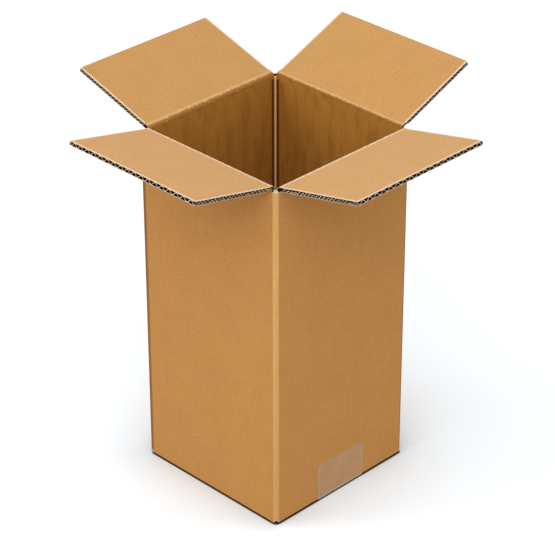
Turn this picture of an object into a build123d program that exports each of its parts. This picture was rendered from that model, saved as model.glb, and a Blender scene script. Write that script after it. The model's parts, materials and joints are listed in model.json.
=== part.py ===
from build123d import *
import os
from math import cos, hypot, radians, sin, tan

# An open slotted carton of single-wall corrugated board, in millimetres.
# The origin is at the middle of the base, +Z is up, and the taped seam runs along X.
# Inner flaps hinge on the two X walls and fold first. Outer flaps hinge on the two Y walls.

# Carton
width = 160.0  # over the outer faces of the X walls
depth = 160.0  # over the outer faces of the Y walls
crease_height = 326.0  # from the floor to the level of the four top creases
board = 4.0  # thickness of the corrugated board
fold_radius = 4.8  # outside of an upright fold
slot_width = 8.0  # cut between two neighbouring flaps
slot_dip = 1.5  # how far a slot runs past the crease
layer_gap = 0.3  # air between two boards that lie on each other

# Top flaps
flap_length = 87.0  # from the crease to the free edge
inner_front_lean = 77.3  # degrees out from upright, as the flaps stand
inner_back_lean = 72.6  # degrees
outer_front_lean = 77.4  # degrees
outer_back_lean = 68.0  # degrees
fold_out = 138.0  # degrees of outward fold that the crease leaves room for
fold_in = 98.0  # degrees of inward fold that the crease leaves room for
nose_radius = 0.5  # half the thickness of the board where it is crushed flat
fold_gap = 0.15  # between the flap's nose and the wall's top edge
least_crush = 2.5  # shortest crushed length beside a crease

# Corrugation
flute_pitch = 8.0
liner = 0.4  # thickness of the outer papers
medium = 0.32  # thickness of the fluted paper
flank_angle = 50.0  # degrees between the fluted paper's flanks and the liners
flute_start = 12.0  # where the open flutes begin, from the crease

# Upright folds, seen from inside
bead_radius = 1.5
groove_radius = 3.0
groove_depth = 0.5
groove_offset = 3.6  # from the inner corner to the middle of the scored groove
score_end = 9.0  # where bead and grooves stop, below the top crease

# Glued side joint
tab_width = 32.0
tab_end = 12.0  # from the top crease, and from the base, to the end of the tab
tab_slope = 8.0  # how much shorter the tab's free edge is at each end
joint_edge = 1.0  # from the outer face of the wall to the cut edge of the joined panel

# Base
base_flap_length = 79.4  # from the outer face of the wall to the seam
base_fold_radius = 3.0
base_lead = 8.0  # over which the outer base flaps climb from their folds to the tape
corner_notch = 0.5  # from the top of the base folds to the foot of each upright fold
inner_floor_lap = 2.0  # overlap of a wall's foot with the wall above it

# Tape
tape_width = 56.0
tape_thickness = 0.1
tape_climb = 36.5  # height of the tape's ends on the X walls

# Values that follow from the ones above
half_width = width / 2
half_depth = depth / 2
half_slot = slot_width / 2
pivot_offset = (board + layer_gap) / 4  # from the middle of the board to a crease's axis
score_step = (board + layer_gap) / 2  # the outer flaps' axes lie this much higher
inner_pivot_depth = board / 2 - pivot_offset  # from the outer face to the inner flaps' axes
outer_pivot_depth = board / 2 + pivot_offset
inner_pivot_height = crease_height - score_step / 2
outer_pivot_height = crease_height + score_step / 2
edge_drop = nose_radius + fold_gap  # from a crease's axis to the top edge of its wall
x_flap_half = half_depth - board / 2 - half_slot  # half the length of a crease on an X wall
y_flap_half = half_width - board / 2 - half_slot
base_rise = tape_thickness  # the outer base flaps lie on the tape
base_top = base_rise + board
inner_base_bottom = base_top + layer_gap
inner_base_top = inner_base_bottom + board
tube_foot = base_rise + base_fold_radius + corner_notch
tube_top = outer_pivot_height - edge_drop
slot_floor = inner_pivot_height - edge_drop - slot_dip
clear = 2.0  # how far a cutter reaches past what it cuts


def crush_length(cover, fold):
    """Length over which a face slopes in to a crease so that it can fold by this many degrees."""
    return max(cover * tan(radians(fold / 2)), least_crush)


def crease_corners(pivot_depth):
    """The outer and inner corner where full board thickness begins above a crease's axis."""
    outer_cover = pivot_depth
    inner_cover = board - pivot_depth
    outer_corner = (outer_cover, crush_length(outer_cover, fold_out))
    inner_corner = (-inner_cover, crush_length(inner_cover, fold_in))
    return outer_corner, inner_corner


def on_circle(point, radius):
    """The point at this radius on the line from the axis to a point."""
    scale = radius / hypot(*point)
    return (point[0] * scale, point[1] * scale)


def flap_root(pivot_depth, half_length):
    """The crushed part of an upright flap, from its rounded nose on the axis to the first flutes."""
    outer_corner, inner_corner = crease_corners(pivot_depth)
    outer_nose = on_circle(outer_corner, nose_radius)
    inner_nose = on_circle(inner_corner, nose_radius)
    sides = Polyline(
        outer_nose,
        outer_corner,
        (outer_corner[0], flute_start),
        (inner_corner[0], flute_start),
        inner_corner,
        inner_nose,
    )
    nose = ThreePointArc(inner_nose, (0, -nose_radius), outer_nose)
    profile = Plane.XZ * make_face(sides + nose)
    return extrude(profile, amount=half_length, both=True)


def flute_cell():
    """The section of one flute's air space, wide at its liner and rounded at its crest."""
    inside = board / 2 - liner
    slope = tan(radians(flank_angle))
    apex = medium / 2 / cos(radians(flank_angle)) - flute_pitch / 4 * slope
    base_half = (inside - apex) / slope
    crest = medium - inside
    half_angle = radians(90 - flank_angle)
    crest_radius = (crest - apex) / (1 / sin(half_angle) - 1)
    outline = Polyline((-base_half, inside), (base_half, inside), (0, apex), close=True)
    cell = make_face(outline)
    return fillet(cell.vertices().sort_by(Axis.Y)[0], crest_radius)


def fluted_board(half_length):
    """Corrugated board with its flutes open at the far edge, from the flute start to the edge."""
    section = Rectangle(2 * half_length, board)
    cell = flute_cell()
    flipped = cell.mirror(Plane.XZ)
    count = int(half_length / flute_pitch) + 1
    cells = []
    for index in range(-count, count + 1):
        place = index * flute_pitch
        cells.append(Pos(place, 0) * cell)
        cells.append(Pos(place + flute_pitch / 2, 0) * flipped)
    return extrude(section - cells, amount=flap_length - flute_start)


def top_flap(pivot_depth, half_length):
    """An upright flap with its crease's axis on local Y and its outer face towards local +X."""
    middle = pivot_depth - board / 2
    sheet = Pos(middle, 0, flute_start) * Rot(0, 0, 90) * fluted_board(half_length)
    return flap_root(pivot_depth, half_length) + sheet


def hang_flap(flap, lean, pivot_reach, pivot_height, turn):
    """Leans an upright flap outwards and sets it on its wall, which faces along the turn."""
    return Rot(0, 0, turn) * Pos(pivot_reach, 0, pivot_height) * Rot(0, lean, 0) * flap


def crease_cuts(pivot_depth, reach, pivot_height, wall_half, turn):
    """What is cut from the top of a wall so that its outer and inner face slope in to the crease."""
    outer_corner, inner_corner = crease_corners(pivot_depth)
    outer_edge = on_circle(outer_corner, edge_drop)
    inner_edge = on_circle(inner_corner, edge_drop)
    above = board
    outer_cut = Polyline(
        (outer_corner[0], -outer_corner[1]),
        (outer_corner[0] + clear, -outer_corner[1]),
        (outer_corner[0] + clear, above),
        (0, above),
        (0, -edge_drop),
        (outer_edge[0], -edge_drop),
        close=True,
    )
    inner_cut = Polyline(
        (inner_corner[0], -inner_corner[1]),
        (inner_edge[0], -edge_drop),
        (0, -edge_drop),
        (0, above),
        (inner_corner[0], above),
        close=True,
    )
    cuts = [
        extrude(Plane.XZ * make_face(outer_cut), amount=wall_half + clear, both=True),
        extrude(Plane.XZ * make_face(inner_cut), amount=wall_half - board, both=True),
    ]
    place = Rot(0, 0, turn) * Pos(reach - pivot_depth, 0, pivot_height)
    return [place * cut for cut in cuts]


def upright_walls():
    """The four walls and their upright folds, with the cut edge of the side joint at the -X -Y corner."""
    outline = Rectangle(width, depth)
    joint_corner = outline.vertices().sort_by(Axis.X)[:2].sort_by(Axis.Y)[0]
    folds = [corner for corner in outline.vertices() if corner != joint_corner]
    section = fillet(folds, fold_radius) - Rectangle(width - 2 * board, depth - 2 * board)
    corner = Vector(-half_width, -half_depth)
    past_edge = Pos(corner.X, corner.Y) * Rectangle(joint_edge, board, align=Align.MIN)
    fold_block = Pos(corner.X, corner.Y + board) * (
        Rectangle(fold_radius, fold_radius, align=Align.MIN)
        - Pos(fold_radius, fold_radius) * Circle(fold_radius)
    )
    section = section - past_edge - fold_block
    return Pos(0, 0, tube_foot) * extrude(section, amount=tube_top - tube_foot)


def joint_tab():
    """The glued tab, folded from the -X wall and lying inside the -Y wall."""
    top = crease_height - tab_end
    bottom = inner_base_top + tab_end
    start = -half_width + fold_radius
    end = -half_width + board + tab_width
    outline = Polyline(
        (start, bottom),
        (end, bottom + tab_slope),
        (end, top - tab_slope),
        (start, top),
        close=True,
    )
    face = Plane.XZ.offset(half_depth - board) * make_face(outline)
    tab = extrude(face, amount=-board)
    fold_fill = Pos(-half_width, -half_depth + board, bottom) * extrude(
        Rectangle(fold_radius, fold_radius, align=Align.MIN)
        & Pos(fold_radius, fold_radius) * Circle(fold_radius),
        amount=top - bottom,
    )
    return tab + fold_fill


def fold_scores():
    """Beads to add and grooves to cut at the inside of the upright folds."""
    beads = []
    grooves = []
    length = inner_pivot_height - score_end - inner_base_top
    for x_side in (-1, 1):
        for y_side in (-1, 1):
            tab_cover = board if x_side < 0 and y_side < 0 else 0.0
            inner_x = x_side * (half_width - board)
            inner_y = y_side * (half_depth - board - tab_cover)
            corner = Pos(inner_x, inner_y, inner_base_top)
            bead = extrude(Circle(bead_radius), amount=length)
            beads.append(corner * Pos(-x_side * bead_radius / 2, -y_side * bead_radius / 2, 0) * bead)
            if tab_cover:
                continue
            groove = extrude(Circle(groove_radius), amount=length)
            inset = groove_radius - groove_depth
            grooves.append(corner * Pos(-x_side * groove_offset, -y_side * inset, 0) * groove)
            grooves.append(corner * Pos(-x_side * inset, -y_side * groove_offset, 0) * groove)
    return beads, grooves


def outer_base_flap(reach, half_length, turn):
    """The foot of a Y wall and the base flap folded in from it, which is the lower layer."""
    inside = reach - board
    fold = reach - base_fold_radius
    arc = RadiusArc((reach, base_fold_radius), (fold, 0), base_fold_radius)
    rest = Polyline(
        (fold, 0),
        (fold - base_lead, base_rise),
        (reach - base_flap_length, base_rise),
        (reach - base_flap_length, base_top),
        (inside, base_top),
        (inside, base_top + inner_floor_lap),
        (reach, base_top + inner_floor_lap),
        (reach, base_fold_radius),
    )
    profile = Plane.XZ * make_face(arc + rest)
    return Rot(0, 0, turn) * extrude(profile, amount=half_length, both=True)


def inner_base_flap(reach, half_length, turn):
    """The foot of an X wall and the base flap folded in from it, which lies on the outer ones."""
    inside = reach - board
    fold = reach - base_fold_radius
    fold_top = base_rise + base_fold_radius
    arc = RadiusArc((reach, fold_top), (fold, base_rise), base_fold_radius)
    rest = Polyline(
        (fold, base_rise),
        (inside, base_rise),
        (inside, inner_base_bottom),
        (reach - base_flap_length, inner_base_bottom),
        (reach - base_flap_length, inner_base_top),
        (inside, inner_base_top),
        (inside, inner_base_top + inner_floor_lap),
        (reach, inner_base_top + inner_floor_lap),
        (reach, fold_top),
    )
    profile = Plane.XZ * make_face(arc + rest)
    return Rot(0, 0, turn) * extrude(profile, amount=half_length, both=True)


def slot_cuts():
    """The ends of the four top slots, at the upright folds."""
    size = board / 2 + half_slot + clear
    height = tube_top - slot_floor + clear
    block = Box(size, size, height, align=(Align.CENTER, Align.CENTER, Align.MIN))
    across = half_width + clear - size / 2
    along = half_depth + clear - size / 2
    return [Pos(x * across, y * along, slot_floor) * block for x in (-1, 1) for y in (-1, 1)]


def folded_carton():
    """Walls, side joint and closed base, folded from one sheet."""
    beads, grooves = fold_scores()
    body = upright_walls() - grooves + beads + joint_tab()
    for turn in (0, 180):
        body += inner_base_flap(half_width, x_flap_half, turn)
        body -= crease_cuts(inner_pivot_depth, half_width, inner_pivot_height, half_depth, turn)
    for turn in (-90, 90):
        body += outer_base_flap(half_depth, y_flap_half, turn)
        body -= crease_cuts(outer_pivot_depth, half_depth, outer_pivot_height, half_width, turn)
    return body - slot_cuts()


def seam_tape():
    """The strip of clear tape along the base seam, up both X walls."""
    top = base_rise + tape_climb
    fold_top = base_rise + base_fold_radius
    fold = half_width - base_fold_radius
    outer_radius = base_fold_radius + tape_thickness
    inner_sheet = Polyline((-half_width, top), (-half_width, fold_top))
    inner_sheet += RadiusArc((-half_width, fold_top), (-fold, base_rise), -base_fold_radius)
    inner_sheet += Polyline((-fold, base_rise), (fold, base_rise))
    inner_sheet += RadiusArc((fold, base_rise), (half_width, fold_top), -base_fold_radius)
    inner_sheet += Polyline((half_width, fold_top), (half_width, top))
    outside = half_width + tape_thickness
    under = base_rise - tape_thickness
    outer_sheet = Polyline((half_width, top), (outside, top), (outside, fold_top))
    outer_sheet += RadiusArc((outside, fold_top), (fold, under), outer_radius)
    outer_sheet += Polyline((fold, under), (-fold, under))
    outer_sheet += RadiusArc((-fold, under), (-outside, fold_top), outer_radius)
    outer_sheet += Polyline((-outside, fold_top), (-outside, top), (-half_width, top))
    profile = Plane.XZ * make_face(inner_sheet + outer_sheet)
    return extrude(profile, amount=tape_width / 2, both=True)


def top_flaps():
    """The four open flaps by name, each set on its crease."""
    inner = top_flap(inner_pivot_depth, x_flap_half)
    outer = top_flap(outer_pivot_depth, y_flap_half)
    inner_axis = (half_width - inner_pivot_depth, inner_pivot_height)
    outer_axis = (half_depth - outer_pivot_depth, outer_pivot_height)
    return {
        "inner_flap_front": hang_flap(inner, inner_front_lean, *inner_axis, 0),
        "inner_flap_back": hang_flap(inner, inner_back_lean, *inner_axis, 180),
        "outer_flap_front": hang_flap(outer, outer_front_lean, *outer_axis, -90),
        "outer_flap_back": hang_flap(outer, outer_back_lean, *outer_axis, 90),
    }


nodes = {"carton": folded_carton(), "tape": seam_tape()}
nodes.update(top_flaps())

os.makedirs("parts", exist_ok=True)
for name, solid in nodes.items():
    export_step(solid, f"parts/{name}.step")
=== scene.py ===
import json
import math

import bpy
import bmesh
import numpy as np
from mathutils import Matrix, Vector


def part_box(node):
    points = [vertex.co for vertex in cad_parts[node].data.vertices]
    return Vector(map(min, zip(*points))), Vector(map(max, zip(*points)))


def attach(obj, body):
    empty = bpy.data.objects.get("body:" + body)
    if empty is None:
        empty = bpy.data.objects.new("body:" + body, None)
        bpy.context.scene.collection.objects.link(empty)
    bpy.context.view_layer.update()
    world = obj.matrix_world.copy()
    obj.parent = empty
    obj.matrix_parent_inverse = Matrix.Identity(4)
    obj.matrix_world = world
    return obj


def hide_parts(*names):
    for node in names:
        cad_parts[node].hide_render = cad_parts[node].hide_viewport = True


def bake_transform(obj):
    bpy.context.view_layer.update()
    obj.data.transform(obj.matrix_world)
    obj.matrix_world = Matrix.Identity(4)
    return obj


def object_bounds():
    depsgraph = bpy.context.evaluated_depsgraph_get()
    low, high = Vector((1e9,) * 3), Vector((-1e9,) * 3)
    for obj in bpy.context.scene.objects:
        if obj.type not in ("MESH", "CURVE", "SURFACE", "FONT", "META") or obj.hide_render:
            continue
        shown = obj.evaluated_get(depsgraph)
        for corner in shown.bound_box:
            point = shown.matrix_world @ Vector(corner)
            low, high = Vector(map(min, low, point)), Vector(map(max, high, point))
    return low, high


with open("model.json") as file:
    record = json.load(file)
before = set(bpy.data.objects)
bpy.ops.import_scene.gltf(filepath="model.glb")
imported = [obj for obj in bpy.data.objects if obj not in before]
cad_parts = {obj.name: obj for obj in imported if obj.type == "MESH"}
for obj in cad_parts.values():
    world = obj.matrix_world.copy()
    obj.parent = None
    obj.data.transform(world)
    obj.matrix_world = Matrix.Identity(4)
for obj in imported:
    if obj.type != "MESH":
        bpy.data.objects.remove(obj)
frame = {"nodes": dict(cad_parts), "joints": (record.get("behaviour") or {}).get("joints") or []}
cad_low, cad_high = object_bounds()

# All lengths are in metres, in the frame's own axes. Board, creases and flaps are read from the frame.
MM = 0.001
UP = np.array([0.0, 0.0, 1.0])

# Board
LINER = 0.36 * MM
MEDIUM = 0.48 * MM
MEDIUM_TRIM = 0.999  # share of its thickness that keeps the medium's faces off the liners'
MEDIUM_PLAY = 0.01 * MM  # between the medium's crests and the liners
FLUTE_PITCH = 8.0 * MM
FLUTE_FULLNESS = 0.12  # how much fuller than a sine the flutes are
FLUTE_JITTER = 0.1  # half turns by which the flutes are unequal
WASHBOARD = 0.035 * MM  # how far a liner sinks between two flutes
EDGE_CRUSH = 0.05  # share of its thickness that a cut edge loses
EDGE_CRUSH_REACH = 1.2 * MM
RAGGED = 0.16 * MM  # how far a cut edge strays from its line
RAGGED_REACH = 2.0 * MM  # from a cut edge to where the board no longer follows it
CUT_MARGIN = 1.5 * MM  # width of the pale rubbed line along a cut
SKEW = 0.003  # how far the flutes run off the cut's direction, per length
SERRATION = 0.38  # half turns by which the crushed flute at a side cut jumps to and fro
SERRATION_SPREAD = 0.25  # half turns by which those jumps are unequal
SIDE_PHASE = 0.35  # radians from the middle of a flute's slope to where a side cut meets it

# Creases of the top flaps
CREASE_REACH = 3.4 * MM  # from a crease's axis to each end of its crushed band
CREASE_BEND = 1.6 * MM  # from a crease's axis to where the open board is straight again
CREASE_CORE = 1.3 * MM  # the least board left outside a crease's axis
CREASE_SLOPE = 0.39  # how fast it thickens again, so that a flap turned down 135 degrees clears its wall
BULGE = 0.12 * MM  # how far a crease stands out on its inner side
BULGE_PLACE = 0.6 * MM  # above the axis
BULGE_WIDTH = 1.4 * MM
RIPPLE = 0.05 * MM  # depth of the flutes that show through a crease
RIPPLE_WIDTH = 1.9 * MM
CAVITY_END = 0.6 * MM  # from a crease's axis down to where the painted shade of the cavity starts

# Carton
FOLD_RADIUS = 4.2 * MM
BASE_FOLD_RADIUS = 1.6 * MM
SLOT_DIP = 0.4 * MM  # from the first creases down to the floor of the slots between the flaps
BOW = 0.35 * MM  # how far a wall strays from flat
CAVITY_FOOT = 8.2 * MM  # height at which the walls' inner faces start
CORNER_LIFT = 1.4 * MM  # how much higher the walls end at the corners, where no base flap is
CORNER_REACH = FOLD_RADIUS - 0.05 * MM  # from a wall's face to where its foot is lifted so
CORNER_GAP = 2.6 * MM  # from a wall's face to the end of the base flap's fold beside it
CHORD_NEAR, CHORD_FAR = 3.2 * MM, 0.5 * MM  # in from the walls' faces to the dark sheet in a corner of the foot, partly the flutes' cut ends, partly painted shade
CHORD_FOOT = 0.3 * MM  # height at which that sheet starts
BASE_REACH = 79.4 * MM  # from a wall's face to the free edge of its base flap
BASE_GAP = 0.3 * MM  # between the two layers of the base
BASE_LEAD = 8.0 * MM  # over which a lower base flap rises onto the film

# Side joint and scored inner corners
JOINT_EDGE = 1.0 * MM
TAB_TURN = 262  # degrees at which the last fold goes over into the tab, just short of the Y wall
TAB_WIDTH = 32.0 * MM
TAB_END = 12.0 * MM
TAB_SLOPE = 8.0 * MM
BEAD_RADIUS = 1.2 * MM
GROOVE_DEPTH = 1.3 * MM
GROOVE_OFFSET = 2.7 * MM
GROOVE_HALF = 1.7 * MM

# Tape
TAPE_FILM = 0.1 * MM
TAPE_TEAR = 0.35 * MM  # how far a torn end strays from its line

# Meshes
SLACK = 0.01 * MM  # allowed when a point is tested against a line
WELD = 0.001 * MM  # points closer than this become one
WALL_STEP = 2.0 * MM  # greatest width of a face along a wall
WALL_ROWS = 56
FOOT_BAND, FOOT_ROWS = 8.0 * MM, 9  # at a wall's foot, where the rows are closer together
FLAP_COLUMNS = 149
FLUTE_STEPS = 24  # columns of the medium for each flute
PRESSED_ROWS = (5.6 * MM, 7.9 * MM)  # from the axis, where the board thickens
BODY_START, BODY_END, BODY_ROWS = 10.0 * MM, 4.0 * MM, 37  # from the axis and from the cut edge
EDGE_BAND, EDGE_ROWS = 3.0 * MM, 8  # at the cut edge, where the rows are closer together
PALE_END_ROWS = 4  # rows of a front flap's inside that are pale at its far cut
CREASE_ROWS = 29
ARC_POINTS = 11
BEND_POINTS = 9
BASE_COLUMNS = 75
TAPE_COLUMNS = 57
TAB_COLUMNS, TAB_ROWS = 14, 60
CORNERS = ((-1, -1), (1, -1), (1, 1), (-1, 1))  # sides in X and Y, anticlockwise from above

# Floor. The camera sees another colour than the box is lit by, and a lift towards white. The lift is less
# near the box, a painted shadow, and a painted contact shadow lies where the box meets it.
FLOOR_GREY = 0.42
FLOOR_SEEN = (0.87, 0.945, 1.0, 1.0)
PAINTED_CONTACT_SHADOW = (0.10, 0.065, 0.04, 1.0)  # colour of the painted contact shadow where the box meets the floor
PAINTED_CONTACT_WIDTH = 1.0 * MM  # width of that painted contact shadow
FLOOR_LIFT = 0.28
FLOOR_LIFT_SIDE = 0.10  # the lift close to the +X wall, which paints the shadow there lighter. Close to the other walls it is 0.
FLOOR_LIFT_AHEAD = 0.12  # added in front of the near corner, a painted light that takes the painted shadow away there
AHEAD_START, AHEAD_END = 0.14, 0.19  # X less Y over which it is added
PAINTED_SHADOW_REACH = 34.0 * MM  # distance over which the full lift comes back: the reach of the painted shadow round the box
FLOOR_SIZE = 12.0

# Light. A lamp has its degrees round from the -Y side and up, and its watts.
SURROUND = 0.685  # strength of the white surround, which the camera sees at 1
LAMPS = {"left": (-40, 35, 10.2), "front": (42, 55, 14.9)}
LAMP_DISTANCE = 2.4
LAMP_SIZE = 1.6
LAMP_AIM = Vector((0, 0, 0.2))

# Camera, fitted to the corners of the box in the photograph
PHOTO_SIZE = 555
FOCAL_PIXELS = 2400.0
SENSOR = 36.0
CAMERA_PLACE = (1.2714, -1.2719, 1.2279)
CAMERA_YAW = 44.94
CAMERA_PITCH = 30.18
CAMERA_ROLL = -0.09


def smooth(value):
    """0 below 0, 1 above 1, and a smooth step between."""
    value = np.clip(value, 0.0, 1.0)
    return value * value * (3 - 2 * value)


def wander(count, step, size, seed):
    """A smooth random line of this many values, with bends about step values long."""
    source = np.random.RandomState(seed)
    knots = source.uniform(-1, 1, int(count / step) + 4)
    position = np.arange(count) / step + 1
    index = position.astype(int)
    share = smooth(position - index)
    return size * (knots[index] * (1 - share) + knots[index + 1] * share)


class Shell:
    """The faces of one piece. Each point keeps its place on the flat sheet, in metres, as its UV."""

    def __init__(self):
        self.points = []
        self.places = []
        self.faces = []
        self.looks = []
        self.count = 0

    def patch(self, points, places, look, flip=False):
        """Adds a grid of points, rows by columns, with the places of its points on the sheet."""
        rows, columns = points.shape[:2]
        index = np.arange(rows * columns).reshape(rows, columns) + self.count
        quads = np.stack([index[:-1, :-1], index[:-1, 1:], index[1:, 1:], index[1:, :-1]], -1)
        quads = quads.reshape(-1, 4)
        if flip:
            quads = quads[:, ::-1]
        self.points.append(points.reshape(-1, 3))
        self.places.append(places.reshape(-1, 2))
        self.faces.append(quads)
        self.looks.append(np.broadcast_to(look, (rows - 1, columns - 1)).reshape(-1))
        self.count += rows * columns

    def strip(self, near, far, places, look, flip=False):
        """Adds one row of faces between two lines of points with the same places on the sheet."""
        self.patch(np.stack([near, far]), np.stack([places, places]), look, flip=flip)

    def piece(self, name, materials, sharp=math.radians(38)):
        """Makes the Blender object, welded along its seams."""
        mesh = bpy.data.meshes.new(name)
        points = np.concatenate(self.points)
        faces = np.concatenate(self.faces)
        mesh.from_pydata(points.tolist(), [], faces.tolist())
        mesh.polygons.foreach_set("material_index", np.concatenate(self.looks).astype(np.int32))
        places = np.concatenate(self.places)
        layer = mesh.uv_layers.new(name="sheet")
        corners = np.zeros(len(mesh.loops), np.int32)
        mesh.loops.foreach_get("vertex_index", corners)
        layer.data.foreach_set("uv", places[corners].astype(np.float32).ravel())
        for material in materials:
            mesh.materials.append(material)
        work = bmesh.new()
        work.from_mesh(mesh)
        bmesh.ops.remove_doubles(work, verts=work.verts, dist=WELD)
        work.to_mesh(mesh)
        work.free()
        mesh.polygons.foreach_set("use_smooth", np.ones(len(mesh.polygons), bool))
        mesh.set_sharp_from_angle(angle=sharp)
        mesh.update()
        thing = bpy.data.objects.new(name, mesh)
        bpy.context.scene.collection.objects.link(thing)
        return thing


# Places in the carton's list of materials
(
    LINER_LOOK, INSIDE_LOOK, CAVITY_SHADE_LOOK, FLUTE_SHADE_LOOK, EDGE_LOOK,
    FOLD_HIGHLIGHT_LOOK, BEAD_HIGHLIGHT_LOOK, GROOVE_SHADE_LOOK, TURN_SHADE_LOOK,
) = range(9)


class Flap:
    """One top flap as the frame holds it: its crease's axis, its lean, and the board's faces."""

    def __init__(self, joint):
        self.name = joint["child"]
        self.origin = np.array(joint["pos_m"], float)
        self.out = np.array([self.origin[0], self.origin[1], 0.0])
        self.out /= np.linalg.norm(self.out)
        self.along = np.cross(UP, self.out)
        mesh = frame["nodes"][self.name].data
        widest = max(mesh.polygons, key=lambda face: face.area)
        normal = np.array(widest.normal, float)
        if normal[2] > 0:
            normal = -normal
        self.normal = normal
        self.lean = math.atan2(-normal[2], normal @ self.out)
        self.run = math.sin(self.lean) * self.out + math.cos(self.lean) * UP
        points = np.array([v.co for v in mesh.vertices], float) - self.origin
        across = points @ self.normal
        self.outer = across.max()
        self.inner = across.min()
        self.length = (points @ self.run).max()
        self.half = (points @ self.along).max()

    def place(self, a, n, s, bend):
        """World points of the upright sheet's points: a along the crease, n outward, s up from the axis.
        They are turned about the axis by a share of the flap's lean."""
        angle = bend * self.lean
        outward = n * np.cos(angle) + s * np.sin(angle)
        upward = s * np.cos(angle) - n * np.sin(angle)
        return (
            self.origin
            + np.asarray(a)[..., None] * self.along
            + outward[..., None] * self.out
            + upward[..., None] * UP
        )


flaps = {joint["child"]: Flap(joint) for joint in frame["joints"]}
inner_front = flaps["inner_flap_front"]
outer_front = flaps["outer_flap_front"]
BOARD = inner_front.outer - inner_front.inner
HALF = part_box("carton")[1].x
FLAP_HALF = inner_front.half
INNER_AXIS_HEIGHT = inner_front.origin[2]
OUTER_AXIS_HEIGHT = outer_front.origin[2]
OUTER_DEPTH = outer_front.outer
PRESS_START = OUTER_AXIS_HEIGHT - OUTER_DEPTH / CREASE_SLOPE
WALL_TOP = INNER_AXIS_HEIGHT - CREASE_REACH
WALL_FOOT = BASE_FOLD_RADIUS + 2 * TAPE_FILM
SLOT_FLOOR = INNER_AXIS_HEIGHT - SLOT_DIP
tape_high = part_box("tape")[1]


def layered_rim(shell, near, far, places, flip, between=FLUTE_SHADE_LOOK):
    """A cut across the board: two pale liners, and between them the flutes, painted dark as shade, or another
    look.
    """
    shares = np.array([0.0, LINER / BOARD, 1 - LINER / BOARD, 1.0])[:, None, None]
    points = near * (1 - shares) + far * shares
    liner = np.full(near.shape[0] - 1, EDGE_LOOK)
    looks = np.stack([liner, np.broadcast_to(between, liner.shape), liner])
    shell.patch(points, np.broadcast_to(places, points.shape[:2] + (2,)), looks, flip=flip)


def slab(shell, flap, a, s, outer, inner, bend, looks, layered=False):
    """A thin closed slab over a grid of places on a flap's sheet, between its outer and inner surface.
    looks gives the outer, inner and rim material."""
    places = np.stack([a, s], -1)
    top = flap.place(a, outer, s, bend)
    bottom = flap.place(a, inner, s, bend)
    shell.patch(top, places, looks[0])
    shell.patch(bottom, places, looks[1], flip=True)
    rims = (
        (np.s_[0, :], True),
        (np.s_[-1, :], False),
        (np.s_[:, 0], False),
        (np.s_[:, -1], True),
    )
    for cut, flip in rims:
        if layered:
            layered_rim(shell, top[cut], bottom[cut], places[cut], flip)
        else:
            shell.strip(top[cut], bottom[cut], places[cut], looks[2], flip=flip)


def flap_rows(flap):
    """Distances from the axis for the rows of a flap's board, close together at the cut edge."""
    body = np.linspace(BODY_START, flap.length - BODY_END, BODY_ROWS)
    edge = np.linspace(flap.length - EDGE_BAND, flap.length, EDGE_ROWS)
    return np.concatenate([[CREASE_REACH], PRESSED_ROWS, body, edge])


def outer_face(flap, s):
    """How far the outer face lies from the axis: the board is pressed thinner toward its crease."""
    return np.clip(CREASE_SLOPE * np.abs(s), CREASE_CORE, flap.outer)


def board_middle(flap, s):
    """How far the middle of the board lies from the axis."""
    return (outer_face(flap, s) + flap.inner) / 2


def crush(flap, a, s):
    """Share of the thickness that is left near the cut edges."""
    to_end = np.minimum(flap.length - s, flap.half - np.abs(a))
    return 1 - EDGE_CRUSH * np.exp(-np.maximum(to_end, 0) / EDGE_CRUSH_REACH)


def ragged_edges(flap, a, s, seed):
    """Moves the outline of a grid a little off its straight cuts, inward only."""
    rows, columns = a.shape
    end = np.abs(wander(columns, 2.2, RAGGED, seed))
    near_end = smooth((s - (flap.length - RAGGED_REACH)) / RAGGED_REACH)
    s = s - near_end * end[None, :]
    for side, offset in ((-1, 1), (1, 2)):
        stray = np.abs(wander(rows, 1.7, RAGGED, seed + offset))
        near_side = smooth((side * a - (flap.half - RAGGED_REACH)) / RAGGED_REACH)
        a = a - side * near_side * stray[:, None]
    return a, s


def flute_angle(flap, a, s):
    """The flutes' phase in radians, the same distance from the middle of a slope at both side cuts."""
    half_turns = round(4 * flap.half / FLUTE_PITCH)
    turn_rate = (half_turns * math.pi - 2 * SIDE_PHASE) / (2 * flap.half)
    return turn_rate * (a + flap.half + SKEW * s) + SIDE_PHASE


def add_liners(shell, flap, seed):
    """The two liners of a flap, each sunk a little between the flutes."""
    columns = np.linspace(-flap.half, flap.half, FLAP_COLUMNS)
    first, last = columns[0], columns[-1]
    columns = np.concatenate([[first, first + CUT_MARGIN], columns[2:-2], [last - CUT_MARGIN, last]])
    a, s = np.meshgrid(columns, flap_rows(flap))
    inside = np.full((a.shape[0] - 1, a.shape[1] - 1), INSIDE_LOOK)
    inside[:, [0, -1]] = EDGE_LOOK
    if flap.name.endswith("front"):
        inside[-PALE_END_ROWS:] = EDGE_LOOK
    # The liners' faces towards the flutes take the flutes' painted shade.
    outer_looks = (LINER_LOOK, FLUTE_SHADE_LOOK, EDGE_LOOK)
    inner_looks = (FLUTE_SHADE_LOOK, inside, EDGE_LOOK)
    for side, looks in ((1, outer_looks), (-1, inner_looks)):
        grid_a, grid_s = ragged_edges(flap, a, s, seed + 10 * side + 20)
        wave = np.sin(flute_angle(flap, grid_a, grid_s))
        middle = board_middle(flap, grid_s)
        left = crush(flap, grid_a, grid_s)
        face = side * (middle - flap.inner - WASHBOARD * (1 - side * wave) / 2) * left
        back = face - side * LINER
        outer, inner = (face, back)[::side]
        slab(shell, flap, grid_a, grid_s, middle + outer, middle + inner, np.ones_like(s), looks)


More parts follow.
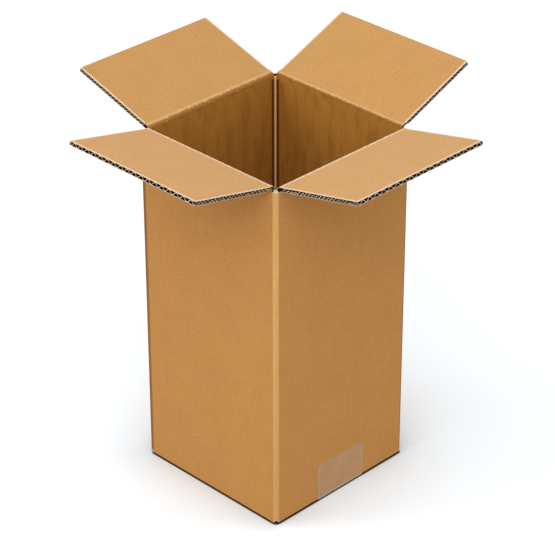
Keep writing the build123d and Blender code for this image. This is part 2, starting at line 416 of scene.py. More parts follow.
def add_medium(shell, flap, seed):
    """The fluted medium of a flap, its flutes a little unequal, and crushed to and fro at the side cuts."""
    count = int(round(2 * flap.half / FLUTE_PITCH * FLUTE_STEPS))
    columns = np.linspace(-flap.half, flap.half, count + 1)
    a, s = np.meshgrid(columns, flap_rows(flap))
    a, s = ragged_edges(flap, a, s, seed + 50)
    half_turn = flute_angle(flap, a, s) / math.pi
    jitter = np.random.RandomState(seed + 5).uniform(-FLUTE_JITTER, FLUTE_JITTER, 64)
    index = np.floor(half_turn).astype(int)
    half_turn = half_turn + jitter[index] * np.sin(np.pi * (half_turn % 1)) ** 2
    near_side = np.exp(-(flap.half - np.abs(a)) / FLUTE_PITCH)
    jumps = SERRATION * (-1.0) ** np.arange(len(a)) + wander(len(a), 1.0, SERRATION_SPREAD, seed + 6)
    half_turn = half_turn + near_side * jumps[:, None]
    angle = np.pi * half_turn
    middle = board_middle(flap, s)
    height = middle - flap.inner - LINER - MEDIUM / 2
    line = np.sin(angle + FLUTE_FULLNESS * np.sin(2 * angle))
    slope = np.abs(np.cos(angle)) * height * 2 * np.pi / FLUTE_PITCH
    thick = MEDIUM / 2 * np.sqrt(1 + slope ** 2) * MEDIUM_TRIM
    centre = middle + line * (height - MEDIUM_PLAY) * crush(flap, a, s)
    looks = (FLUTE_SHADE_LOOK, FLUTE_SHADE_LOOK, EDGE_LOOK)
    slab(shell, flap, a, s, centre + thick, centre - thick, np.ones_like(s), looks)


def flap_board(flap, seed):
    """The corrugated board of one top flap, from the end of its crushed crease to the cut edge."""
    shell = Shell()
    add_liners(shell, flap, seed)
    add_medium(shell, flap, seed)
    return shell.piece(flap.name + "_board", board_set(flap))


def crease_band(flap, seed):
    """The crushed board across one crease, from the wall's top to the flap, bent to the flap's lean."""
    shell = Shell()
    s_line = np.linspace(-CREASE_REACH, CREASE_REACH, CREASE_ROWS)
    below = flap.origin[2] - WALL_TOP
    if below > CREASE_REACH + MM:
        s_line = np.concatenate([np.linspace(-below, -CREASE_REACH, 5)[:-1], s_line])
    columns = np.linspace(-flap.half, flap.half, FLAP_COLUMNS)
    a, s = np.meshgrid(columns, s_line)
    bend = smooth((s + CREASE_BEND) / (2 * CREASE_BEND))
    waver = 1 + wander(len(columns), 5.0, 0.12, seed) + wander(len(columns), 1.6, 0.06, seed + 1)
    bulge = BULGE * np.exp(-((s - BULGE_PLACE) / BULGE_WIDTH) ** 2) * waver
    ripple = RIPPLE * np.exp(-(s / RIPPLE_WIDTH) ** 2) * np.cos(2 * np.pi * a / FLUTE_PITCH + seed)
    inner = flap.inner - bulge - ripple
    # Below the crease the band takes the cavity's painted shade.
    inner_looks = np.where(s[1:, 1:] < -CAVITY_END, CAVITY_SHADE_LOOK, INSIDE_LOOK)
    looks = (LINER_LOOK, inner_looks)
    slab(shell, flap, a, s, outer_face(flap, s), inner, bend, looks, layered=True)
    band = shell.piece(flap.name + "_crease", board_set(flap), math.radians(60))
    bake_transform(band)
    return band


def arc_points(centre, radius, first, last, count):
    """Points on a circle, from one angle to another in degrees."""
    angles = np.radians(np.linspace(first, last, count))
    return np.stack([centre[0] + radius * np.cos(angles), centre[1] + radius * np.sin(angles)], -1)


def outer_loop():
    """The outline of the walls' outer faces, anticlockwise from above, from the side joint and back to it."""
    r = FOLD_RADIUS
    joint_centre = -HALF + BOARD + r
    flap_end = 180 + math.degrees(math.asin((FLAP_HALF + joint_centre) / r))
    stops = [
        [(-HALF + JOINT_EDGE, -HALF), (-FLAP_HALF, -HALF), (FLAP_HALF, -HALF), (HALF - r, -HALF)],
        [(HALF, -HALF + r), (HALF, -FLAP_HALF), (HALF, FLAP_HALF), (HALF, HALF - r)],
        [(HALF - r, HALF), (FLAP_HALF, HALF), (-FLAP_HALF, HALF), (-HALF + r, HALF)],
        [(-HALF, HALF - r), (-HALF, FLAP_HALF), (-HALF, joint_centre)],
    ]
    arcs = [
        [arc_points((HALF - r, -HALF + r), r, -90, 0, ARC_POINTS)],
        [arc_points((HALF - r, HALF - r), r, 0, 90, ARC_POINTS)],
        [arc_points((-HALF + r, HALF - r), r, 90, 180, ARC_POINTS)],
        [
            arc_points((-HALF + r, joint_centre), r, 180, flap_end, 5),
            arc_points((-HALF + r, joint_centre), r, flap_end, TAB_TURN, 7),
        ],
    ]
    parts = []
    for wall, turn in zip(stops, arcs):
        for start, end in zip(wall[:-1], wall[1:]):
            count = int(np.linalg.norm(np.subtract(end, start)) / WALL_STEP) + 1
            parts.append(np.linspace(start, end, count + 1))
        parts.extend(turn)
    loop = np.concatenate(parts)
    keep = np.concatenate([[True], np.linalg.norm(np.diff(loop, axis=0), axis=1) > 1e-7])
    return loop[keep]


def inner_corner(x_side, y_side):
    """A scored inner corner from its Y wall to its X wall: a groove on each wall, and the bead between."""
    d = np.linspace(GROOVE_OFFSET + GROOVE_HALF, GROOVE_OFFSET - GROOVE_HALF, ARC_POINTS)
    groove = np.stack([d, -GROOVE_DEPTH * np.cos(np.pi / 2 * (d - GROOVE_OFFSET) / GROOVE_HALF) ** 2], -1)
    half = BEAD_RADIUS / 2
    sweep = math.degrees(math.asin(half / BEAD_RADIUS))
    bead = arc_points((half, half), BEAD_RADIUS, -sweep, 90 + sweep, ARC_POINTS)
    local = np.concatenate([groove, bead, groove[::-1, ::-1]])
    # The grooves are painted dark as shade and the bead pale as a highlight.
    looks = np.full(len(local), GROOVE_SHADE_LOOK)
    looks[len(groove):len(groove) + len(bead)] = BEAD_HIGHLIGHT_LOOK
    looks[[0, -1]] = CAVITY_SHADE_LOOK
    corner = np.array([x_side, y_side]) * (HALF - BOARD)
    return corner - np.array([x_side, y_side]) * local, looks


def inner_loop():
    """The outline of the walls' inner faces, anticlockwise from above, with a look for each stretch."""
    corners = []
    for x_side, y_side in CORNERS:
        points, looks = inner_corner(x_side, y_side)
        if x_side == y_side:
            points, looks = points[::-1], looks[::-1]
        corners.append((points, looks))
    parts = []
    stretch = []
    for index, (corner, looks) in enumerate(corners):
        parts.append(corner)
        stretch.append(np.maximum(looks[:-1], looks[1:]))
        following = corners[(index + 1) % 4][0]
        count = int(np.linalg.norm(following[0] - corner[-1]) / WALL_STEP) + 1
        parts.append(np.linspace(corner[-1], following[0], count + 1)[1:-1])
        stretch.append(np.full(count, CAVITY_SHADE_LOOK))
    loop = np.concatenate(parts)
    return np.concatenate([loop, loop[:1]]), np.concatenate(stretch)


def run_lengths(loop):
    """Distance along a loop at each of its points."""
    steps = np.linalg.norm(np.diff(loop, axis=0), axis=1)
    return np.concatenate([[0.0], np.cumsum(steps)])


def bowed(points, height):
    """Lets the walls stray a little from flat, most in their middle and not at folds or ends."""
    x, y = points[..., 0], points[..., 1]
    on_x = np.abs(x) > np.abs(y)
    across = np.where(on_x, y, x) / HALF
    rise = np.clip(height / WALL_TOP, 0, 1)
    shape = (1 - across ** 2).clip(0, 1) ** 1.5 * np.sin(np.pi * rise) ** 0.8  # 0 along all four sides
    phase = np.where(on_x, np.where(x > 0, 0.4, 2.1), np.where(y > 0, 3.7, 5.2))  # one for each wall
    lumps = 0.5 * np.sin(5.1 * rise + 2.3 * across + phase)
    lumps = lumps + 0.25 * np.sin(9.7 * rise - 3.9 * across + 2 * phase)
    stray = -BOW * shape * (0.55 + lumps)
    moved = points.copy()
    moved[..., 0] += np.where(on_x, np.sign(x) * stray, 0)
    moved[..., 1] += np.where(on_x, 0, np.sign(y) * stray)
    return moved


def press_depth(loop, height):
    """How far, in Y, the Y walls' outer faces are pressed in at this height, under their flaps."""
    under_flap = (np.abs(loop[:, 0]) < FLAP_HALF + SLACK) & (np.abs(loop[:, 1]) > HALF - SLACK)
    depth = np.maximum(OUTER_DEPTH - CREASE_SLOPE * (OUTER_AXIS_HEIGHT - height), 0)
    return np.sign(loop[:, 1]) * depth * under_flap


def wall_skin(shell, loop, z_line, look, flip=False, pressed=False):
    """Walls over a loop at these heights, a little shorter at the corners of the foot.
    With pressed, the Y walls thin toward their flaps' creases."""
    points = np.zeros((len(z_line), len(loop), 3))
    points[..., :2] = loop
    at_corner = np.abs(loop).min(axis=1) > HALF - CORNER_REACH
    near_foot = np.clip(1 - (z_line - z_line[0]) / (4 * CORNER_LIFT), 0, 1)
    points[..., 2] = z_line[:, None] + CORNER_LIFT * near_foot[:, None] * at_corner
    points = bowed(points, points[..., 2])
    if pressed:
        points[..., 1] -= press_depth(loop, points[..., 2])
    places = np.stack([np.broadcast_to(run_lengths(loop), points.shape[:2]), points[..., 2]], -1)
    shell.patch(points, places, look, flip=flip)


def wall_heights(foot):
    """Heights of a wall's rows, closer together at its foot."""
    low = np.linspace(foot, foot + FOOT_BAND, FOOT_ROWS)
    return np.concatenate([low[:-1], np.linspace(low[-1], PRESS_START, WALL_ROWS), [WALL_TOP]])


def even_points(path, count):
    """This many points at even distances along a path."""
    lengths = run_lengths(path)
    at = np.linspace(0, lengths[-1], count)
    return np.stack([np.interp(at, lengths, path[:, 0]), np.interp(at, lengths, path[:, 1])], -1)


def at_height(path, height):
    """A plan path as points at one height."""
    return np.column_stack([path, np.full(len(path), height)])


def path_places(path, low, high):
    """Places on the sheet for a plan path between two heights."""
    along = run_lengths(path)
    return np.stack(np.broadcast_arrays(along, np.array([[low], [high]])), -1)


def upright(shell, bottom, top, low, high, look, flip=False):
    """A strip from one plan path, at the low height, to another at the high one."""
    points = np.stack([at_height(bottom, low), at_height(top, high)])
    shell.patch(points, path_places(top, low, high), look, flip=flip)


def corner_posts(shell, outer, outer_looks):
    """The short stretch of each fold between two flaps, from the walls' common top to the slot's floor."""
    low, high = WALL_TOP, SLOT_FLOOR
    inside = HALF - BOARD
    half_way = len(outer) // 2
    in_corner = np.abs(outer).min(axis=1) > FLAP_HALF - 0.1 * SLACK
    for x_side, y_side in CORNERS:
        order = np.flatnonzero(in_corner & (outer[:, 0] * x_side > 0) & (outer[:, 1] * y_side > 0))
        if (x_side, y_side) == (-1, -1):
            order = np.concatenate([order[order > half_way], order[order < half_way]])
        ring = outer[order]
        looks = outer_looks[np.minimum(order[:-1], len(outer_looks) - 1)]
        ends = [np.clip(point, -inside, inside) for point in (ring[0], ring[-1])]
        bead = inner_corner(x_side, y_side)[0][ARC_POINTS:2 * ARC_POINTS]
        if abs(bead[0] - ends[0]).sum() > abs(bead[-1] - ends[0]).sum():
            bead = bead[::-1]
        inner = np.concatenate([[ends[0]], bead, [ends[1]]])
        back = inner[::-1]
        foot = ring.copy()
        foot[:, 1] -= press_depth(ring, low)
        upright(shell, foot, ring, low, high, looks)
        upright(shell, back, back, low, high, BEAD_HIGHLIGHT_LOOK)
        for end, other in ((-1, 0), (0, -1)):
            bottom = np.stack([foot[end], back[other]])
            top = np.stack([ring[end], back[other]])
            upright(shell, bottom, top, low, high, FLUTE_SHADE_LOOK, flip=end == 0)
        # At the fold facing the front the cut's middle is painted pale, a painted highlight; at the others it
        # shows the flutes' painted shade.
        between = np.where(looks == FOLD_HIGHLIGHT_LOOK, EDGE_LOOK, FLUTE_SHADE_LOOK)
        inner_line = even_points(inner, len(ring))
        layered_rim(shell, at_height(ring, high), at_height(inner_line, high), ring, False, between)


def fold_bend(radius):
    """The bend from a wall's face down to the floor, at this radius, as points of reach and height."""
    centre = (HALF - BASE_FOLD_RADIUS, radius)
    return [tuple(point) for point in arc_points(centre, radius, 0, -90, BEND_POINTS)]


def folded_flap(shell, profile, looks, turn):
    """Extrudes a closed profile, in reach and height, along its wall. looks has one for each side of it."""
    half = HALF - CORNER_GAP
    c, s = math.cos(turn), math.sin(turn)
    loop = np.array(profile + profile[:1])
    x, y, z = np.broadcast_arrays(loop[:, :1], np.linspace(-half, half, BASE_COLUMNS), loop[:, 1:])
    points = np.stack([x * c - y * s, x * s + y * c, z], -1)
    places = np.stack([y, np.broadcast_to(-run_lengths(loop)[:, None], y.shape)], -1)
    shell.patch(points, places, np.array(looks)[:, None], flip=True)
    for end in (0, -1):
        ring = points[:-1, end]
        middle = np.broadcast_to(ring.mean(0), ring.shape)
        # The base flaps' ends are painted dark as shade.
        shell.strip(ring, middle, places[:-1, end], FLUTE_SHADE_LOOK)


def base_flaps(shell):
    """The four closed base flaps: the outer pair below, from the Y walls, and the inner pair on it."""
    inside = HALF - BOARD
    free = HALF - BASE_REACH
    low = TAPE_FILM
    step = low + BOARD + BASE_GAP
    start = [(HALF, WALL_FOOT)]
    end = [(inside, CAVITY_FOOT + BASE_GAP)]
    bend = fold_bend(BASE_FOLD_RADIUS)
    lower = start + bend + [(HALF - BASE_FOLD_RADIUS - BASE_LEAD, low), (free, low)]
    lower += [(free, low + BOARD), (inside, low + BOARD)] + end
    upper = start + [(x, z + low) for x, z in bend] + [(inside, low), (inside, step), (free, step)]
    upper += [(free, step + BOARD), (inside, step + BOARD)] + end
    # Part of each base fold's bend is painted dark, a painted contact shadow along the foot.
    bend_looks_contact_shade = [LINER_LOOK] + [FLUTE_SHADE_LOOK] * 5 + [LINER_LOOK] * 3
    top_looks = [EDGE_LOOK, CAVITY_SHADE_LOOK, CAVITY_SHADE_LOOK, EDGE_LOOK]
    for turn in (-math.pi / 2, math.pi / 2):
        folded_flap(shell, lower, bend_looks_contact_shade + [LINER_LOOK] * 2 + top_looks, turn)
    for turn in (0.0, math.pi):
        folded_flap(shell, upper, bend_looks_contact_shade + [LINER_LOOK] * 3 + top_looks, turn)


def corner_shade_ends(shell):
    """A dark sheet across each corner of the foot: partly the cut ends of the flutes, partly painted shade
    that makes the hole there black.
    """
    near, far = HALF - CHORD_NEAR, HALF - CHORD_FAR
    for x_side, y_side in CORNERS:
        chord = np.array([[near, far], [far, near]]) * (x_side, y_side)
        if x_side != y_side:
            chord = chord[::-1]
        upright(shell, chord, chord, CHORD_FOOT, WALL_FOOT + 2 * CORNER_LIFT, FLUTE_SHADE_LOOK, flip=True)


def side_tab(shell):
    """The glued tab of the side joint, inside the -Y wall."""
    share_x, share_z = np.meshgrid(np.linspace(0, 1, TAB_COLUMNS), np.linspace(0, 1, TAB_ROWS))
    x = -HALF + BOARD + TAB_WIDTH * share_x
    low = CAVITY_FOOT + TAB_END + TAB_SLOPE * share_x
    high = INNER_AXIS_HEIGHT - TAB_END - TAB_SLOPE * share_x
    z = low + (high - low) * share_z
    front = np.stack([x, np.full_like(x, -HALF + 2 * BOARD), z], -1)
    back = front - np.array([0, BOARD, 0])
    places = np.stack([x, z], -1)
    shell.patch(front, places, INSIDE_LOOK, flip=True)
    for cut, flip in ((np.s_[0, :], True), (np.s_[-1, :], False), (np.s_[:, -1], True)):
        shell.strip(front[cut], back[cut], places[cut], EDGE_LOOK, flip=flip)


def joint_edge(shell, outer):
    """The side joint at the outside: from the tab's fold in to the -Y wall's cut edge and out along it."""
    joint = -HALF + JOINT_EDGE
    inside = -HALF + BOARD
    edge = np.array([
        outer[-1], (outer[-1][0], inside), (joint, inside),
        (joint, inside - LINER), (joint, -HALF + LINER), outer[0],
    ])
    looks = np.array([LINER_LOOK, LINER_LOOK, EDGE_LOOK, FLUTE_SHADE_LOOK, EDGE_LOOK])
    upright(shell, edge, edge, WALL_FOOT, WALL_TOP, looks)


def carton():
    """Walls, upright folds, closed base and side joint."""
    shell = Shell()
    outer = outer_loop()
    middle = (outer[1:] + outer[:-1]) / 2
    turn_start = HALF - FOLD_RADIUS * 0.9
    # The fold facing the front is painted lighter: a painted highlight, partly worn liner.
    front_fold = np.minimum(middle[:, 0], -middle[:, 1]) > turn_start
    # The other folds are painted darker: painted shade where they turn from the light.
    turned = np.abs(middle).min(axis=1) > turn_start
    outer_looks = np.where(front_fold, FOLD_HIGHLIGHT_LOOK, np.where(turned, TURN_SHADE_LOOK, LINER_LOOK))
    heights = wall_heights(WALL_FOOT)
    wall_looks = np.tile(outer_looks, (len(heights) - 1, 1))
    wall_looks[0, turned] = EDGE_LOOK
    wall_skin(shell, outer, heights, wall_looks, pressed=True)
    inner, inner_looks = inner_loop()
    wall_skin(shell, inner, wall_heights(CAVITY_FOOT), inner_looks, flip=True)
    joint_edge(shell, outer)
    corner_posts(shell, outer, outer_looks)
    base_flaps(shell)
    corner_shade_ends(shell)
    side_tab(shell)
    return shell.piece("carton_board", kraft_set)


def tape_strip():
    """The clear film along the base seam and up both X walls."""
    shell = Shell()
    bend = fold_bend(BASE_FOLD_RADIUS + TAPE_FILM)
    up = [(HALF + TAPE_FILM, z) for z in np.linspace(tape_high.z, bend[0][1], 24)[:-1]]
    under = [(x, 0.0) for x in np.linspace(bend[-1][0], 0, 30)[1:]]
    right = np.array(up + bend + under)
    left = right[::-1][1:] * np.array([-1, 1])
    path = np.concatenate([right, left])
    columns = np.linspace(-tape_high.y, tape_high.y, TAPE_COLUMNS)
    y, v = np.meshgrid(columns, run_lengths(path))
    points = np.stack(np.broadcast_arrays(path[:, :1], y, path[:, 1:]), -1)
    points[[0, -1], :, 2] -= np.abs(wander(TAPE_COLUMNS, 1.4, TAPE_TEAR, 77))
    shell.patch(points, np.stack([y, v], -1), 0)
    return shell.piece("seam_tape", [tape_film])


class Nodes:
    """Short calls for building a material's nodes."""

    def __init__(self, name):
        self.material = bpy.data.materials.new(name)
        self.material.use_nodes = True
        self.tree = self.material.node_tree
        self.tree.nodes.clear()
        self.output = self.new("OutputMaterial")
        self.shader = self.new("BsdfPrincipled")
        self.link(self.shader.outputs[0], self.output.inputs["Surface"])

    def new(self, kind):
        return self.tree.nodes.new("ShaderNode" + kind)

    def link(self, source, target):
        self.tree.links.new(source, target)

    def feed(self, target, value):
        """Sets an input to a number or colour, or links a node's output to it."""
        if isinstance(value, (int, float, tuple)):
            target.default_value = value
        else:
            self.link(value, target)

    def surface(self, colour, roughness, gloss):
        """The colour and roughness of the material, and how much it reflects."""
        self.feed(self.shader.inputs["Base Color"], colour)
        self.feed(self.shader.inputs["Roughness"], roughness)
        self.feed(self.shader.inputs["Specular IOR Level"], gloss)

    def sheet(self, scale=(1.0, 1.0)):
        """Places on the flat sheet, in millimetres, times a scale for each direction."""
        uv = self.new("UVMap")
        uv.uv_map = "sheet"
        scaled = self.new("VectorMath")
        scaled.operation = "MULTIPLY"
        scaled.inputs[1].default_value = (1000 * scale[0], 1000 * scale[1], 1.0)
        self.link(uv.outputs[0], scaled.inputs[0])
        return scaled.outputs[0]

    def split(self, vector):
        """The X, Y and Z of a vector."""
        node = self.new("SeparateXYZ")
        self.link(vector, node.inputs[0])
        return node.outputs

    def across(self):
        """Distance on the sheet from a flap's crease, or height on a wall, in millimetres."""
        return self.split(self.sheet())["Y"]

    def noise(self, vector, scale, detail=2.0, rough=0.5):
        node = self.new("TexNoise")
        node.inputs["Scale"].default_value = scale
        node.inputs["Detail"].default_value = detail
        node.inputs["Roughness"].default_value = rough
        self.link(vector, node.inputs["Vector"])
        return node.outputs["Fac"]

    def ramp(self, value, low, high, bottom=0.0, top=1.0):
        node = self.new("MapRange")
        node.interpolation_type = "SMOOTHSTEP"
        for name, number in (("From Min", low), ("From Max", high), ("To Min", bottom), ("To Max", top)):
            node.inputs[name].default_value = number
        self.link(value, node.inputs["Value"])
        return node.outputs["Result"]

    def math(self, operation, first, second=0.0, third=0.0):
        node = self.new("Math")
        node.operation = operation
        for socket, value in zip(node.inputs, (first, second, third)):
            self.feed(socket, value)
        return node.outputs[0]

    def mix(self, share, first, second):
        node = self.new("Mix")
        node.data_type = "RGBA"
        self.feed(node.inputs["Factor"], share)
        self.feed(node.inputs["A"], first)
        self.feed(node.inputs["B"], second)
        return node.outputs["Result"]

    def tint(self, colour, value, low, high, amount, tone):
        """Mixes a tone into a colour, from none of it at the low value to this amount at the high one."""
        return self.mix(self.ramp(value, low, high, 0.0, amount), colour, tone)

    def bump(self, height, strength, distance):
        node = self.new("Bump")
        node.inputs["Strength"].default_value = strength
        node.inputs["Distance"].default_value = distance
        self.link(height, node.inputs["Height"])
        self.link(node.outputs[0], self.shader.inputs["Normal"])


def linear_part(value):
    """One part of a colour as it shows on screen, 0 to 255, in linear light."""
    value /= 255
    return value / 12.92 if value <= 0.04045 else ((value + 0.055) / 1.055) ** 2.4


def linear(red, green, blue):
    """A colour given as it shows on screen, 0 to 255, in linear light."""
    return (linear_part(red), linear_part(green), linear_part(blue), 1.0)


def shade(colour, factor):
    """A colour made lighter or darker, a little more saturated where darker."""
    power = (1.0, 1.15, 1.3)
    return tuple(min(part * factor ** each, 0.96) for part, each in zip(colour[:3], power)) + (1.0,)


def crease_shade_and_highlight(nodes, colour, below, crease):
    """The colour above a flap's crease, the cavity's painted shade below it, and the pale broken line of the
    crease, a painted highlight partly the stretched liner.
    """
    above = nodes.noise(nodes.sheet((1.0, 0.2)), 0.22, 2.0, 0.6)
    above = nodes.math("MULTIPLY_ADD", above, 1.8, nodes.across())
    # Below the crease: the cavity's painted shade, darker still.
    colour = nodes.mix(nodes.ramp(above, 1.1, 1.5), shade(below, 0.85), colour)
    # The pale line: a painted highlight along the crease, partly the stretched liner.
    line = nodes.math("MULTIPLY", nodes.ramp(above, 1.2, 1.7), nodes.ramp(above, 2.5, 3.6, 1.0, 0.0))
    broken = nodes.ramp(nodes.noise(nodes.sheet(), 0.7, 3.0, 0.7), 0.38, 0.60, 0.15, 1.0)
    return nodes.mix(nodes.math("MULTIPLY", line, broken), colour, crease)


def kraft_paper(name, base, streak, gloss=0.28, below=None, crease=None, blotch=0.0, fade=0.0):
    """Kraft liner: cloudy formation, long fibres across the flutes, pale and dark flecks, faint flute lines.
    With below, the cavity's painted shade past a flap's crease, it also has the pale broken line of the
    crease, a painted highlight partly the stretched liner."""
    nodes = Nodes(name)
    light, dark = shade(base, 1.05), shade(base, 0.84)
    clouds = nodes.noise(nodes.sheet(), 0.03, 3.0, 0.55)
    formation = nodes.noise(nodes.sheet(), 0.40, 4.0, 0.65)
    fibres = nodes.noise(nodes.sheet((0.55, 2.6)), 1.1, 3.0, 0.65)
    threads = nodes.noise(nodes.sheet((0.60, 0.03)), 1.0, 3.0, 0.6)
    flecks = nodes.noise(nodes.sheet((0.7, 1.6)), 0.55, 1.0, 0.5)
    specks = nodes.noise(nodes.sheet((1.5, 0.8)), 0.62, 1.0, 0.5)
    colour = nodes.tint(base, clouds, 0.3, 0.7, 1.0, light)
    if below:
        colour = crease_shade_and_highlight(nodes, colour, below, crease)
    colour = nodes.tint(colour, formation, 0.35, 0.75, 0.42, dark)
    colour = nodes.tint(colour, fibres, 0.52, 0.8, 0.35, light)
    colour = nodes.tint(colour, threads, 0.44, 0.64, streak, dark)
    colour = nodes.mix(nodes.ramp(threads, 0.30, 0.44, 0.6 * streak, 0.0), colour, light)
    if blotch:
        damp = nodes.noise(nodes.sheet((0.10, 0.022)), 1.0, 3.0, 0.6)
        colour = nodes.tint(colour, damp, 0.42, 0.68, blotch, shade(base, 0.6))
    # fade makes the sheet darker towards the bottom.
    if fade:
        colour = nodes.mix(nodes.ramp(nodes.across(), 0.0, 240.0, fade, 0.0), colour, shade(base, 0.7))
    colour = nodes.tint(colour, flecks, 0.65, 0.74, 0.75, shade(base, 1.3))
    colour = nodes.tint(colour, specks, 0.66, 0.75, 0.7, shade(base, 0.5))
    nodes.surface(colour, nodes.ramp(formation, 0.2, 0.8, 0.72, 0.88), gloss)
    nodes.bump(nodes.math("MULTIPLY_ADD", fibres, 0.6, formation), 0.35, 0.12 * MM)
    return nodes.material


def cut_paper(name, base, dark, gloss):
    """The torn-looking fibres of a cut edge."""
    nodes = Nodes(name)
    grain = nodes.noise(nodes.sheet(), 1.6, 3.0, 0.7)
    colour = nodes.tint(dark, grain, 0.35, 0.7, 1.0, base)
    nodes.surface(colour, nodes.ramp(grain, 0.2, 0.8, 0.8, 0.95), gloss)
    nodes.bump(grain, 0.5, 0.2 * MM)
    return nodes.material


def film(name, half, fold):
    """Clear packing tape, a little cloudy, paler at its edges, with a painted highlight where it folds under
    the box.
    """
    nodes = Nodes(name)
    haze = nodes.ramp(nodes.noise(nodes.sheet(), 0.06, 3.0, 0.6), 0.3, 0.7)
    lines = nodes.noise(nodes.sheet((1.0, 0.08)), 0.7, 2.0, 0.5)
    spots = nodes.noise(nodes.sheet(), 0.5, 3.0, 0.7)
    parts = nodes.split(nodes.sheet())
    from_middle = nodes.math("ABSOLUTE", parts["X"])
    from_fold = nodes.math("ABSOLUTE", nodes.math("SUBTRACT", parts["Y"], fold / MM))
    edge = nodes.ramp(from_middle, half / MM - 1.1, half / MM - 0.5)
    # A painted highlight along the fold under the box.
    crease = nodes.ramp(from_fold, 0.6, 1.2, 1.0, 0.0)
    bright = nodes.math("MAXIMUM", nodes.math("MULTIPLY", edge, 0.6), crease)
    colour = nodes.mix(haze, linear(246, 232, 204), linear(222, 200, 166))
    colour = nodes.mix(bright, colour, linear(252, 240, 222))
    nodes.surface(colour, nodes.ramp(spots, 0.3, 0.7, 0.25, 0.4), 0.5)
    cover = nodes.math("MULTIPLY_ADD", haze, 0.08, 0.24)
    cover = nodes.math("MULTIPLY_ADD", lines, 0.05, cover)
    cover = nodes.math("MULTIPLY_ADD", bright, 0.45, cover)
    nodes.link(cover, nodes.shader.inputs["Alpha"])
    nodes.bump(lines, 0.2, 0.04 * MM)
    return nodes.material


# The cavity's deeper, more saturated tone is painted shade: the walls' inner liner is the same paper as the
# flaps' inside.
cavity = linear(187, 132, 58)
kraft_set = [
    kraft_paper("kraft_outside", linear(223, 159, 87), 0.15),
    # Front flaps' inside. crease is the colour of the crease's painted highlight.
    kraft_paper(
        "kraft_front_inside", linear(217, 167, 109), 0.20, below=cavity, crease=linear(255, 236, 208)
    ),
    # Inner walls: painted shade, darker and more saturated than the flaps' inside, with random damp blotches.
    kraft_paper("kraft_cavity_painted_shade", linear(194, 136, 58), 0.45, gloss=0.1, blotch=0.5),
    # The medium's faces, painted near black: painted shade inside the flutes.
    cut_paper("fluting_painted_shade", linear(74, 42, 20), linear(32, 18, 9), 0.03),
    cut_paper("cut_edge", linear(255, 243, 218), linear(232, 196, 150), 0.2),
    # The fold facing the front: lighter, a painted highlight and partly worn liner, darker towards the
    # bottom.
    kraft_paper("kraft_fold_worn_and_highlit", linear(255, 195, 119), 0.35, fade=0.35),
    # The inner corners' bead, painted pale as a highlight, and its grooves, painted dark as shade.
    kraft_paper("kraft_bead_painted_highlight", linear(252, 204, 136), 0.1, gloss=0.1),
    kraft_paper("kraft_groove_painted_shade", linear(120, 66, 24), 0.3, gloss=0.05),
    # The other upright folds: painted shade.
    kraft_paper("kraft_turn_painted_shade", linear(172, 116, 60), 0.3),
]
# The back flaps' inside: the same liner painted darker as shade, with the crease's painted highlight.
back_inside = kraft_paper(
    "kraft_back_inside_painted_shade", linear(210, 157, 93), 0.20, below=cavity, crease=linear(238, 194, 138)
)
tape_film = film("tape_film", tape_high.y, tape_high.z - BASE_FOLD_RADIUS)


def board_set(flap):
    """The materials of one flap. The two back flaps are painted a shade darker inside than the front ones, as
    painted shade.
    """
    looks = list(kraft_set)
    if flap.name.endswith("back"):
        looks[INSIDE_LOOK] = back_inside
    return looks


def build_box():
    """Every piece of the object. The carton, tape and flap boards ride on their bodies; the crease bands ride
    on none.
    """
    body = carton()
    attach(body, "box")
    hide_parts("carton")
    strip = tape_strip()
    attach(strip, "box")
    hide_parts("tape")
    for number, (name, flap) in enumerate(flaps.items()):
        board = flap_board(flap, 100 + 17 * number)
        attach(board, name)
        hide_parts(name)
        band = crease_band(flap, 300 + 17 * number)


def box_distance(nodes, parts):
    """Distance on the floor from the box's rounded outline, less than 0 within it."""
    squares = []
    for axis in "XY":
        past = nodes.math("SUBTRACT", nodes.math("ABSOLUTE", parts[axis]), HALF - FOLD_RADIUS)
        squares.append(nodes.math("POWER", nodes.math("MAXIMUM", past, 0.0), 2.0))
    return nodes.math("SUBTRACT", nodes.math("SQRT", nodes.math("ADD", *squares)), FOLD_RADIUS)


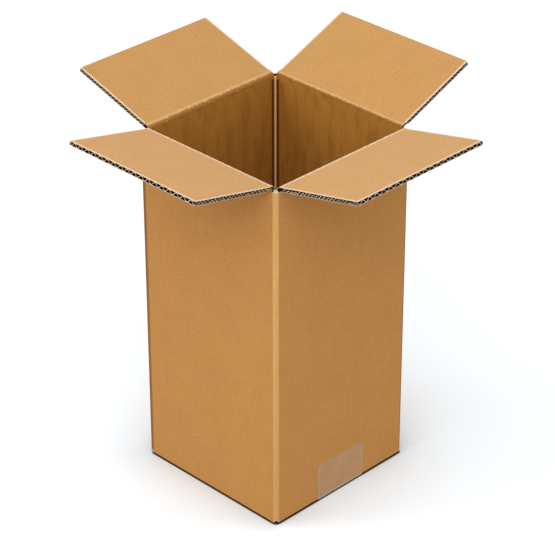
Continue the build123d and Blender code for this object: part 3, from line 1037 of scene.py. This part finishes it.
def floor_paint():
    """Pale paint. What the camera sees of it is lifted towards white, less so near the box, which paints a
    shadow round it, and a dark painted contact shadow lies along the box's outline.
    """
    nodes = Nodes("floor_paint")
    nodes.surface((FLOOR_GREY, FLOOR_GREY, FLOOR_GREY, 1.0), 0.9, 0.0)
    parts = nodes.split(nodes.new("NewGeometry").outputs["Position"])
    clear = box_distance(nodes, parts)
    # A painted contact shadow along the box's outline.
    outward = nodes.ramp(clear, 0.3 * PAINTED_CONTACT_WIDTH, PAINTED_CONTACT_WIDTH, 1.0, 0.0)
    inward = nodes.ramp(clear, -3 * PAINTED_CONTACT_WIDTH, -2 * PAINTED_CONTACT_WIDTH)
    contact = nodes.math("MULTIPLY", outward, inward)
    # The lift fades in with distance from the box: a painted shadow round it.
    fade = nodes.math("MULTIPLY", nodes.math("MAXIMUM", clear, 0.0), -1 / PAINTED_SHADOW_REACH)
    fade = nodes.math("EXPONENT", fade)
    beside = nodes.ramp(parts["X"], HALF, HALF + 4 * MM, -FLOOR_LIFT, FLOOR_LIFT_SIDE - FLOOR_LIFT)
    ahead = nodes.math("SUBTRACT", parts["X"], parts["Y"])
    ahead = nodes.ramp(ahead, AHEAD_START, AHEAD_END, 0.0, FLOOR_LIFT_AHEAD)
    lift = nodes.math("MULTIPLY_ADD", fade, beside, nodes.math("ADD", ahead, FLOOR_LIFT))
    seen = nodes.new("BsdfDiffuse")
    nodes.link(nodes.mix(contact, FLOOR_SEEN, PAINTED_CONTACT_SHADOW), seen.inputs["Color"])
    glow = nodes.new("Emission")
    nodes.link(lift, glow.inputs["Strength"])
    total = nodes.new("AddShader")
    nodes.link(seen.outputs[0], total.inputs[0])
    nodes.link(glow.outputs[0], total.inputs[1])
    path = nodes.new("LightPath")
    straight = nodes.math("MAXIMUM", path.outputs["Is Camera Ray"], path.outputs["Is Glossy Ray"])
    choice = nodes.new("MixShader")
    nodes.link(straight, choice.inputs[0])
    nodes.link(nodes.shader.outputs[0], choice.inputs[1])
    nodes.link(total.outputs[0], choice.inputs[2])
    nodes.link(choice.outputs[0], nodes.output.inputs["Surface"])
    return nodes.material


def floor():
    """A pale floor that keeps the object's shadow, with a painted shadow round the box added to it."""
    mesh = bpy.data.meshes.new("floor")
    size = FLOOR_SIZE
    corners = [(-size, -size, 0), (size, -size, 0), (size, size, 0), (-size, size, 0)]
    mesh.from_pydata(corners, [], [(0, 1, 2, 3)])
    mesh.materials.append(floor_paint())
    thing = bpy.data.objects.new("floor", mesh)
    thing.location.z = cad_low.z - 0.2 * MM
    bpy.context.scene.collection.objects.link(thing)


def surround():
    """An even white world, which the camera and reflections see brighter than it lights the box."""
    world = bpy.data.worlds.new("surround")
    bpy.context.scene.world = world
    world.use_nodes = True
    tree = world.node_tree
    back = tree.nodes["Background"]
    back.inputs["Color"].default_value = (1.0, 1.0, 1.0, 1.0)
    path = tree.nodes.new("ShaderNodeLightPath")
    seen = tree.nodes.new("ShaderNodeMath")
    seen.operation = "MAXIMUM"
    strength = tree.nodes.new("ShaderNodeMix")
    strength.inputs["A"].default_value = SURROUND
    strength.inputs["B"].default_value = 1.0
    tree.links.new(path.outputs["Is Camera Ray"], seen.inputs[0])
    tree.links.new(path.outputs["Is Glossy Ray"], seen.inputs[1])
    tree.links.new(seen.outputs[0], strength.inputs["Factor"])
    tree.links.new(strength.outputs["Result"], back.inputs["Strength"])


def lights():
    """The surround, a soft lamp from the left and a stronger, higher one from the camera's side."""
    surround()
    for name, (azimuth, elevation, power) in LAMPS.items():
        data = bpy.data.lights.new(name, "AREA")
        data.shape = "DISK"
        data.size = LAMP_SIZE
        data.energy = power
        thing = bpy.data.objects.new(name, data)
        a, e = math.radians(azimuth), math.radians(elevation)
        direction = Vector((math.sin(a) * math.cos(e), -math.cos(a) * math.cos(e), math.sin(e)))
        thing.location = direction * LAMP_DISTANCE + LAMP_AIM
        thing.rotation_euler = direction.to_track_quat("Z", "Y").to_euler()
        bpy.context.scene.collection.objects.link(thing)


def camera():
    """The photograph's view, with no shift and no depth of field."""
    data = bpy.data.cameras.new("camera")
    data.sensor_width = SENSOR
    data.lens = FOCAL_PIXELS / PHOTO_SIZE * SENSOR
    data.clip_start = 0.01
    data.clip_end = 100
    thing = bpy.data.objects.new("camera", data)
    yaw, pitch, roll = map(math.radians, (CAMERA_YAW, CAMERA_PITCH, CAMERA_ROLL))
    back = Vector((math.sin(yaw) * math.cos(pitch), -math.cos(yaw) * math.cos(pitch), math.sin(pitch)))
    right = Vector((math.cos(yaw), math.sin(yaw), 0))
    up = back.cross(right)
    turned_right = math.cos(roll) * right + math.sin(roll) * up
    turned_up = math.cos(roll) * up - math.sin(roll) * right
    rotation = Matrix((turned_right, turned_up, back)).transposed()
    thing.matrix_world = Matrix.Translation(CAMERA_PLACE) @ rotation.to_4x4()
    bpy.context.scene.collection.objects.link(thing)
    bpy.context.scene.camera = thing


build_box()
floor()
lights()
camera()
bpy.context.scene.view_settings.view_transform = "Standard"
